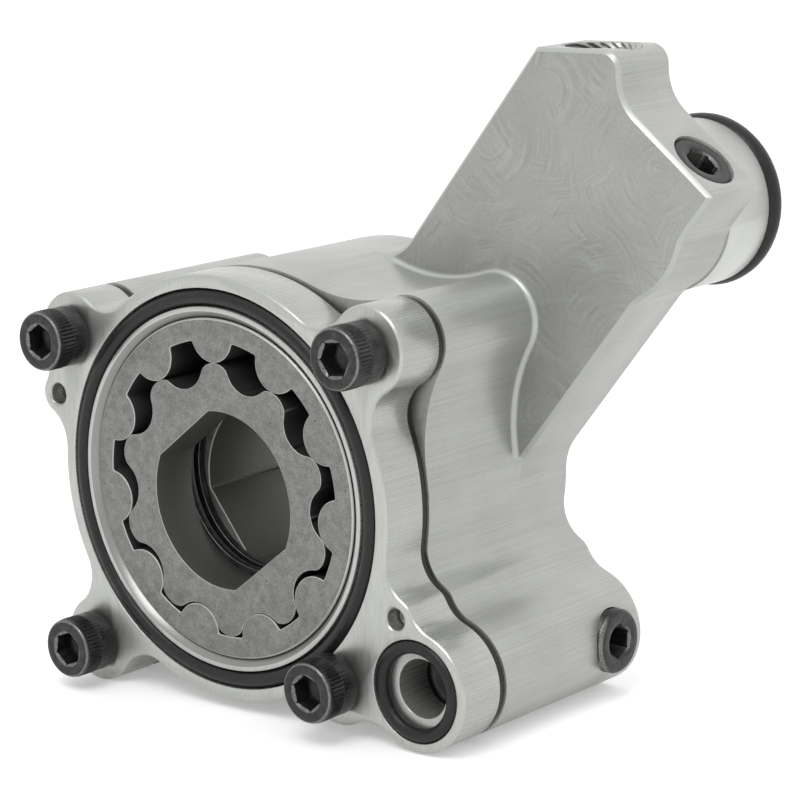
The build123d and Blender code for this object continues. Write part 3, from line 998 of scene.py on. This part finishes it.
@dataclass
class CapScrew:
    """Socket head cap screw with a knurled head and a threaded end."""

    place: str
    x: float
    z: float
    socket_turn: float              # degrees
    socket: HexSocket = HexSocket(
        depth=3.2, tip_r=1.9, tip_step=0.05, tip_depth=1.1, flats_from=0.35,
        bevel_r=2.55, mouth_r=2.9, mouth_edge=0.02, rim_r=2.98,
    )
    head_r: float = 4.7625
    head_front: float = -7.15
    head_back: float = -0.8
    rim_round: float = 0.62         # length of the round on the front rim
    rim_share: float = 0.86         # its width against its length
    rim_steps: int = 5
    knurl_teeth: int = 48
    knurl_depth: float = 0.28
    knurl_rise: Span = (0.7, 0.9)   # behind the front of the head
    knurl_fall: Span = (3.25, 3.5)
    band_insets: Span = (0.07, 0.06)  # of the plain bands before and behind the knurl
    back_round: tuple[Span, ...] = ((0.04, 0.35), (0.12, 0.1), (0.4, 0.0))  # insets, and lengths left
    neck: float = 0.12
    shank_r: float = 3.175
    shank_end: float = 50.0
    thread_from: float = 38.0
    thread_pitch: float = 1.27
    thread_depth: float = 0.55
    thread_form: Span = (1.15, 4.0)  # root share before it is cut off, and slope of the flanks
    thread_rows: int = 8            # for each turn
    tip_length: float = 0.7
    tip_round: tuple[Span, ...] = ((0.65, 0.15), (0.8, 0.0))  # insets, and lengths left
    points_per_tooth: int = 6

    def knurl(self, angle: float) -> float:
        """Radius of the knurled band at an angle."""
        phase = (angle * self.knurl_teeth / (2 * math.pi)) % 1.0
        return self.head_r - self.knurl_depth * abs(2 * phase - 1.0)

    def thread(self, y: float) -> Callable[[float], float]:
        """Radius of the thread by angle.

        Args:
            y: depth of the loop.

        Returns:
            The function.
        """
        turns = (y - self.thread_from) / self.thread_pitch
        depth = self.thread_depth * min(1.0, max(0.0, turns))
        return lambda angle: self.shank_r - depth * groove(turns - angle / (2 * math.pi), *self.thread_form)

    def head(self) -> Profile:
        """Loops of the head, from the socket's rim to its back.

        Returns:
            The profile.
        """
        front, back = self.head_front, self.head_back
        flat_r = self.head_r - self.rim_round
        profile: Profile = [(flat_r, front)]
        for i in range(1, self.rim_steps + 1):
            angle = math.pi / 2 * i / self.rim_steps
            out = self.rim_round * math.sin(angle) * self.rim_share
            profile.append((flat_r + out, front + self.rim_round * (1 - math.cos(angle))))
        profile += [
            (self.head_r - self.band_insets[0], front + self.knurl_rise[0]),
            (self.knurl, front + self.knurl_rise[1]),
            (self.knurl, front + self.knurl_fall[0]),
            (self.head_r - self.band_insets[1], front + self.knurl_fall[1]),
        ]
        return profile + [(self.head_r - inset, back - rest) for inset, rest in self.back_round]

    def shank(self) -> Profile:
        """Loops of the shank, from the head to the tip.

        Returns:
            The profile.
        """
        profile: Profile = [
            (self.shank_r + self.neck, self.head_back), (self.shank_r, self.head_back + self.neck),
            (self.shank_r, self.thread_from),
        ]
        length = self.shank_end - self.tip_length - self.thread_from
        for i in range(1, int(length / self.thread_pitch * self.thread_rows) + 1):
            y = self.thread_from + i * self.thread_pitch / self.thread_rows
            profile.append((self.thread(y), y))
        profile += [(self.shank_r - inset, self.shank_end - rest) for inset, rest in self.tip_round]
        return profile + [(AXIS_R, self.shank_end)]

    def build(self, finishes: Finishes) -> None:
        """Build and dress the screw.

        Args:
            finishes: the finishes.
        """
        centre = Vector((self.x, 0.0, self.z))
        count = self.knurl_teeth * self.points_per_tooth
        profile = self.socket.profile(self.head_front, self.socket_turn) + self.head() + self.shank()
        piece = lathed(f"{self.place}_socket_screw", profile, centre, count)
        dress(piece, finishes.black, Body.HOUSING, "black_steel", f"{self.place}_cap_screw")


@dataclass
class TaperPlug:
    """Threaded plug with a hexagon socket, built along +Y from its outer end."""

    place: str
    end: Vector                     # middle of the outer end
    outwards: Vector
    socket_turn: float = 0.0        # degrees
    socket: HexSocket = HexSocket(
        depth=4.2, tip_r=1.8, tip_step=0.0, tip_depth=0.9, flats_from=0.4,
        bevel_r=2.62, mouth_r=2.85, mouth_edge=0.04, rim_r=2.95,
    )
    radius: float = 5.05
    length: float = 7.5
    rim: float = 0.45
    rim_round: tuple[Span, ...] = ((0.57, 0.0), (0.45, 0.04), (0.1, 0.45), (0.02, 0.6))  # insets and depths
    pitch: float = 0.94
    thread_margins: Span = (0.3, 0.5)  # plain length behind the rim and at the inner end
    groove_line: tuple[Span, ...] = ((0.02, 0.0), (0.4, 0.45), (0.02, 0.9))  # insets and shares of the pitch
    tip_inset: float = 0.5
    points: int = 96

    def build(self, finishes: Finishes) -> None:
        """Build and dress the plug.

        Args:
            finishes: the finishes.
        """
        profile = self.socket.profile(0.0, self.socket_turn)
        profile += [(self.radius - inset, y) for inset, y in self.rim_round]
        first, last = self.thread_margins
        for i in range(int((self.length - self.rim - last) / self.pitch)):
            y = self.rim + first + i * self.pitch
            profile += [(self.radius - inset, y + self.pitch * share) for inset, share in self.groove_line]
        profile += [(self.radius - self.tip_inset, self.length), (AXIS_R, self.length)]
        move = aimed(self.end, -self.outwards)
        piece = lathed(f"{self.place}_pipe_plug", profile, Vector(), self.points, move)
        dress(piece, finishes.black, Body.HOUSING, "black_steel", f"{self.place}_plug")


@dataclass
class SealRing:
    """Round-section sealing ring across the pump axis."""

    name: str
    node: str
    x: float
    z: float
    mean_r: float
    section: float
    middle_y: float
    points: int = 160
    section_points: int = 20

    def build(self, finishes: Finishes) -> None:
        """Build and dress the ring.

        Args:
            finishes: the finishes.
        """
        centre = Vector((self.x, 0.0, self.z))
        half = self.section / 2
        profile: Profile = []
        for i in range(self.section_points):
            angle = 2 * math.pi * i / self.section_points
            profile.append((self.mean_r + half * math.cos(angle), self.middle_y + half * math.sin(angle)))
        piece = lathed(self.name, profile, centre, self.points, closed=True)
        dress(piece, finishes.rubber, Body.HOUSING, "rubber", self.node)


@dataclass
class DrillingThread:
    """Thread in the wall of the drilling that opens on top of the arm."""

    mouth: Vector                   # middle of the mouth
    along: Vector                   # direction of the drilling, outwards
    radius: float = 5.045
    depth: float = 0.42
    form: Triple = (1.4, 3.2, 0.05)  # root share before it is cut off, slope of the flanks, crest share
    pitch: float = 0.94
    start: float = -5.2             # below the mouth
    end: float = 8.0
    rows_per_turn: int = 6
    points: int = 96
    arm_x: Span = (30.0, 53.55)     # end of the arm, with a rounded corner on top
    arm_y: Span = (31.5, 43.8)
    arm_z: Span = (50.0, 65.85)
    arm_round: float = 3.0
    arm_round_steps: int = 8

    def ridge(self, reach: float) -> Callable[[float], float]:
        """Radius of the thread by angle, for a loop at a distance from the mouth."""
        turns = reach / self.pitch
        return lambda angle: self.radius - self.depth * groove(turns - angle / (2 * math.pi), *self.form)

    def arm_top(self) -> bpy.types.Object:
        """The end of the arm as a plain block, which trims the thread.

        Returns:
            The block.
        """
        left, right = self.arm_x
        bottom, top = self.arm_z
        outline = [(left, bottom), (right, bottom)]
        for i in range(self.arm_round_steps + 1):
            angle = math.pi / 2 * i / self.arm_round_steps
            back, down = (self.arm_round * (1 - part) for part in (math.cos(angle), math.sin(angle)))
            outline.append((right - back, top - down))
        outline.append((left, top))
        return skin("arm_top_block", [[Vector((x, y, z)) * MM for x, z in outline] for y in self.arm_y])

    def build(self, finishes: Finishes) -> None:
        """Build and dress the thread.

        Args:
            finishes: the finishes.
        """
        move = aimed(self.mouth, self.along)
        rows = int((self.end - self.start) / self.pitch * self.rows_per_turn)
        profile: Profile = [(self.radius, self.end), (self.radius, self.start)]
        for i in range(rows + 1):
            reach = self.start + i * self.pitch / self.rows_per_turn
            profile.append((self.ridge(reach), reach))
        piece = lathed("top_drilling_thread", profile, Vector(), self.points, move, closed=True)
        block = self.arm_top()
        trim = piece.modifiers.new("trim", "BOOLEAN")
        trim.operation = "INTERSECT"
        trim.solver = "EXACT"
        trim.object = block
        trimmed = piece.evaluated_get(bpy.context.evaluated_depsgraph_get())
        mesh = bpy.data.meshes.new_from_object(trimmed)
        piece.modifiers.clear()
        piece.data = mesh
        bpy.data.objects.remove(block)
        dress(piece, finishes.arm_aluminium, Body.HOUSING, "housing_aluminium")


@dataclass(frozen=True)
class ArmDrillings:
    """Plugs of the drillings in the arm and the body, and the thread of the upper one."""

    angle: float = 50.5             # of the arm above the X axis, in degrees
    middle_y: float = 37.65
    arm_top: float = 65.9
    top_offset: float = 6.3         # of the upper drilling from the middle line of the arm
    top_plug_depth: float = 5.0
    end_place: Span = (78.9, 17.6)  # along the arm and to the right of its middle line
    base_place: Span = (47.7, -25.4)
    end_turn: float = 12.0          # of a socket, in degrees
    base_turn: float = 25.0

    def build(self, finishes: Finishes) -> None:
        """Build and dress the plugs and the thread.

        Args:
            finishes: the finishes.
        """
        arm = Vector((math.cos(math.radians(self.angle)), 0.0, math.sin(math.radians(self.angle))))
        side = Vector((-arm.z, 0.0, arm.x))
        middle = Vector((0.0, self.middle_y, 0.0))
        rise = (self.arm_top - self.top_offset * side.z) / arm.z
        mouth = arm * rise + side * self.top_offset + middle
        end = arm * self.end_place[0] - side * self.end_place[1] + middle
        base = Vector((self.base_place[0], self.middle_y, self.base_place[1]))
        TaperPlug("end", end, arm, self.end_turn).build(finishes)
        TaperPlug("top", mouth - arm * self.top_plug_depth, arm).build(finishes)
        TaperPlug("base", base, Vector((1.0, 0.0, 0.0)), self.base_turn).build(finishes)
        DrillingThread(mouth, arm).build(finishes)


# ------------------------------------------------------------------ rotors and inner pieces


@dataclass
class InnerPieces:
    """Rotors of both stages, separator plates, wave washer, seal and dowels."""

    rotor_edge: float = 0.22
    score: float = 0.4              # groove beside each drive flat of the scavenge rotor
    plate_edge: float = 0.1
    rotors: dict[str, Body] = field(default_factory=lambda: {
        "feed_outer_rotor": Body.FEED_OUTER,
        "feed_inner_rotor": Body.FEED_INNER,
        "scavenge_outer_rotor": Body.SCAVENGE_OUTER,
        "scavenge_inner_rotor": Body.SCAVENGE_INNER,
    })

    def build(self, finishes: Finishes) -> None:
        """Build and dress the rotors and plates.

        Args:
            finishes: the finishes.
        """
        for node, body in self.rotors.items():
            rotor = edged_copy(node, f"pressed_{node}", self.rotor_edge, rims_only=True)
            if body is Body.SCAVENGE_INNER:
                scored(rotor, self.score)
            dress(rotor, finishes.sintered, body, "sintered_steel", node)
        # The separator plates take the black finish as painted shade at the floor of the rotor pockets
        for node in ("front_separator_plate", "rear_separator_plate"):
            piece = edged_copy(node, f"painted_shade_{node}", self.plate_edge)
            dress(piece, finishes.black, Body.HOUSING, "black_steel", node)
        for node in ("wave_washer", "left_dowel", "right_dowel"):
            piece = edged_copy(node, f"ground_{node}", self.plate_edge)
            dress(piece, finishes.ground, Body.HOUSING, "plate_steel", node)
        seal = edged_copy("separator_seal", "moulded_separator_seal", self.plate_edge)
        dress(seal, finishes.rubber, Body.HOUSING, "rubber", "separator_seal")


# ------------------------------------------------------------------ studio


@dataclass
class Studio:
    """Pale floor, soft light and the camera."""

    floor_z: float = -34.95         # millimetres
    floor_size: float = 4.0         # metres
    floor_colour: tuple[float, ...] = (0.8, 0.8, 0.8, 1.0)
    floor_glow: float = 0.30        # added where the floor is seen or mirrored
    camera_azimuth: float = 40.07   # degrees
    camera_elevation: float = 11.84
    camera_roll: float = -1.8
    camera_distance: float = 443.93  # millimetres
    aim_right: float = 27.66
    aim_up: float = 13.80
    lens: float = 131.04
    sensor: float = 36.0
    nearest: float = 0.01           # metres
    world_dark: float = 0.72
    world_bright: float = 1.26
    bright_side: Triple = (0.12, 0.75, 0.65)
    slope_range: Span = (-0.4, 1.0)  # towards the bright side, from dark to bright
    background_rays: tuple[str, ...] = ("Is Camera Ray", "Is Glossy Ray", "Is Transmission Ray")
    lamp_place: Triple = (0.22, -0.55, 0.80)  # metres
    lamp_aim: Triple = (0.02, 0.02, 0.0)
    lamp_size: Span = (0.5, 0.5)
    lamp_power: float = 4.0         # watts

    def seen(self, sheet: NodeSheet) -> Socket:
        """1 for the rays that see the studio as white, and 0 for the rest.

        Args:
            sheet: the node sheet that uses it.

        Returns:
            The value socket.
        """
        path = sheet.add("ShaderNodeLightPath")
        total = path.outputs[self.background_rays[0]]
        for ray in self.background_rays[1:]:
            total = sheet.number("MAXIMUM", total, path.outputs[ray])
        return total

    def floor(self) -> None:
        """Lay the floor, which looks white and keeps shadows."""
        mesh = bmesh.new()
        bmesh.ops.create_grid(mesh, x_segments=1, y_segments=1, size=self.floor_size)
        floor = finished("studio_floor", mesh)
        floor.location = (0.0, 0.0, self.floor_z * MM)
        material = bpy.data.materials.new("pale_floor")
        material.use_nodes = True
        sheet = NodeSheet(material.node_tree)
        paint = sheet.add("ShaderNodeBsdfDiffuse", {"Color": self.floor_colour})
        strength = sheet.number("MULTIPLY", self.seen(sheet), self.floor_glow)
        glow = sheet.add("ShaderNodeEmission", {"Strength": strength})
        both = sheet.add("ShaderNodeAddShader")
        sheet.feed_all(both, paint.outputs[0], glow.outputs[0])
        sheet.add("ShaderNodeOutputMaterial", {"Surface": both.outputs[0]})
        floor.data.materials.append(material)

    def world(self) -> None:
        """Make the soft surroundings, white to the camera and in metal."""
        world = bpy.data.worlds.new("studio_surroundings")
        bpy.context.scene.world = world
        world.use_nodes = True
        sheet = NodeSheet(world.node_tree)
        direction = sheet.add("ShaderNodeTexCoord").outputs["Generated"]
        slope = sheet.vector("DOT_PRODUCT", direction, self.bright_side, result="Value")
        level = sheet.between(slope, *self.slope_range, self.world_dark, self.world_bright)
        soft = sheet.add("ShaderNodeBackground", {"Color": level, "Strength": 1.0})
        strength = sheet.number("MAXIMUM", level, 1.0)
        white = sheet.add("ShaderNodeBackground", {"Color": (1.0, 1.0, 1.0, 1.0), "Strength": strength})
        choice = sheet.add("ShaderNodeMixShader")
        sheet.feed_all(choice, self.seen(sheet), soft.outputs[0], white.outputs[0])
        sheet.add("ShaderNodeOutputWorld", {"Surface": choice.outputs[0]})

    def softbox(self) -> None:
        """Hang the soft lamp above the front of the pump."""
        lamp = bpy.data.lights.new("top_softbox", "AREA")
        lamp.shape = "RECTANGLE"
        lamp.size, lamp.size_y = self.lamp_size
        lamp.energy = self.lamp_power
        holder = placed("top_softbox", lamp)
        holder.location = self.lamp_place
        beam = Vector(self.lamp_aim) - Vector(self.lamp_place)
        holder.rotation_euler = beam.to_track_quat("-Z", "Y").to_euler()

    def camera(self) -> None:
        """Place the camera."""
        azimuth = math.radians(self.camera_azimuth)
        elevation = math.radians(self.camera_elevation)
        roll = math.radians(self.camera_roll)
        level = Vector((math.cos(azimuth), math.sin(azimuth), 0.0))
        flat = math.cos(elevation)
        back = Vector((math.sin(azimuth) * flat, -math.cos(azimuth) * flat, math.sin(elevation)))
        upright = back.cross(level)
        right = level * math.cos(roll) + upright * math.sin(roll)
        up = upright * math.cos(roll) - level * math.sin(roll)
        place = back * self.camera_distance + right * self.aim_right + up * self.aim_up
        data = bpy.data.cameras.new("studio_camera")
        data.lens = self.lens
        data.sensor_width = self.sensor
        data.clip_start = self.nearest
        camera = placed("studio_camera", data)
        axes = Matrix((right, up, back)).transposed().to_4x4()
        camera.matrix_world = Matrix.Translation(place * MM) @ axes
        bpy.context.scene.camera = camera

    def build(self) -> None:
        """Build the whole studio."""
        self.floor()
        self.world()
        self.softbox()
        self.camera()
        bpy.context.scene.view_settings.view_transform = "Standard"


def main() -> None:
    """Build the pump's looks and the studio."""
    logging.basicConfig(level=logging.INFO)
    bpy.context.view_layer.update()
    finishes = Finishes()
    Housings().build(finishes)
    InnerPieces().build(finishes)
    for screw in (
        CapScrew("upper_left", x=-30.4, z=21.3, socket_turn=33.0),
        CapScrew("upper_right", x=30.5, z=24.6, socket_turn=6.0),
        CapScrew("lower_left", x=-28.0, z=-28.1, socket_turn=20.0),
        CapScrew("lower_right", x=22.8, z=-26.4, socket_turn=41.0),
    ):
        screw.build(finishes)
    ArmDrillings().build(finishes)
    for ring in (
        SealRing("face_seal_ring", "face_o_ring", x=0.0, z=0.0, mean_r=29.8, section=2.5, middle_y=0.93),
        SealRing("port_seal_ring", "port_o_ring", x=37.7, z=-25.4, mean_r=6.75, section=2.2, middle_y=0.78),
        SealRing(
            "spigot_seal_ring", "spigot_o_ring", x=51.6, z=41.0, mean_r=11.25, section=4.0, middle_y=56.4
        ),
    ):
        ring.build(finishes)
    Studio().build()


if __name__ == "__main__":
    main()
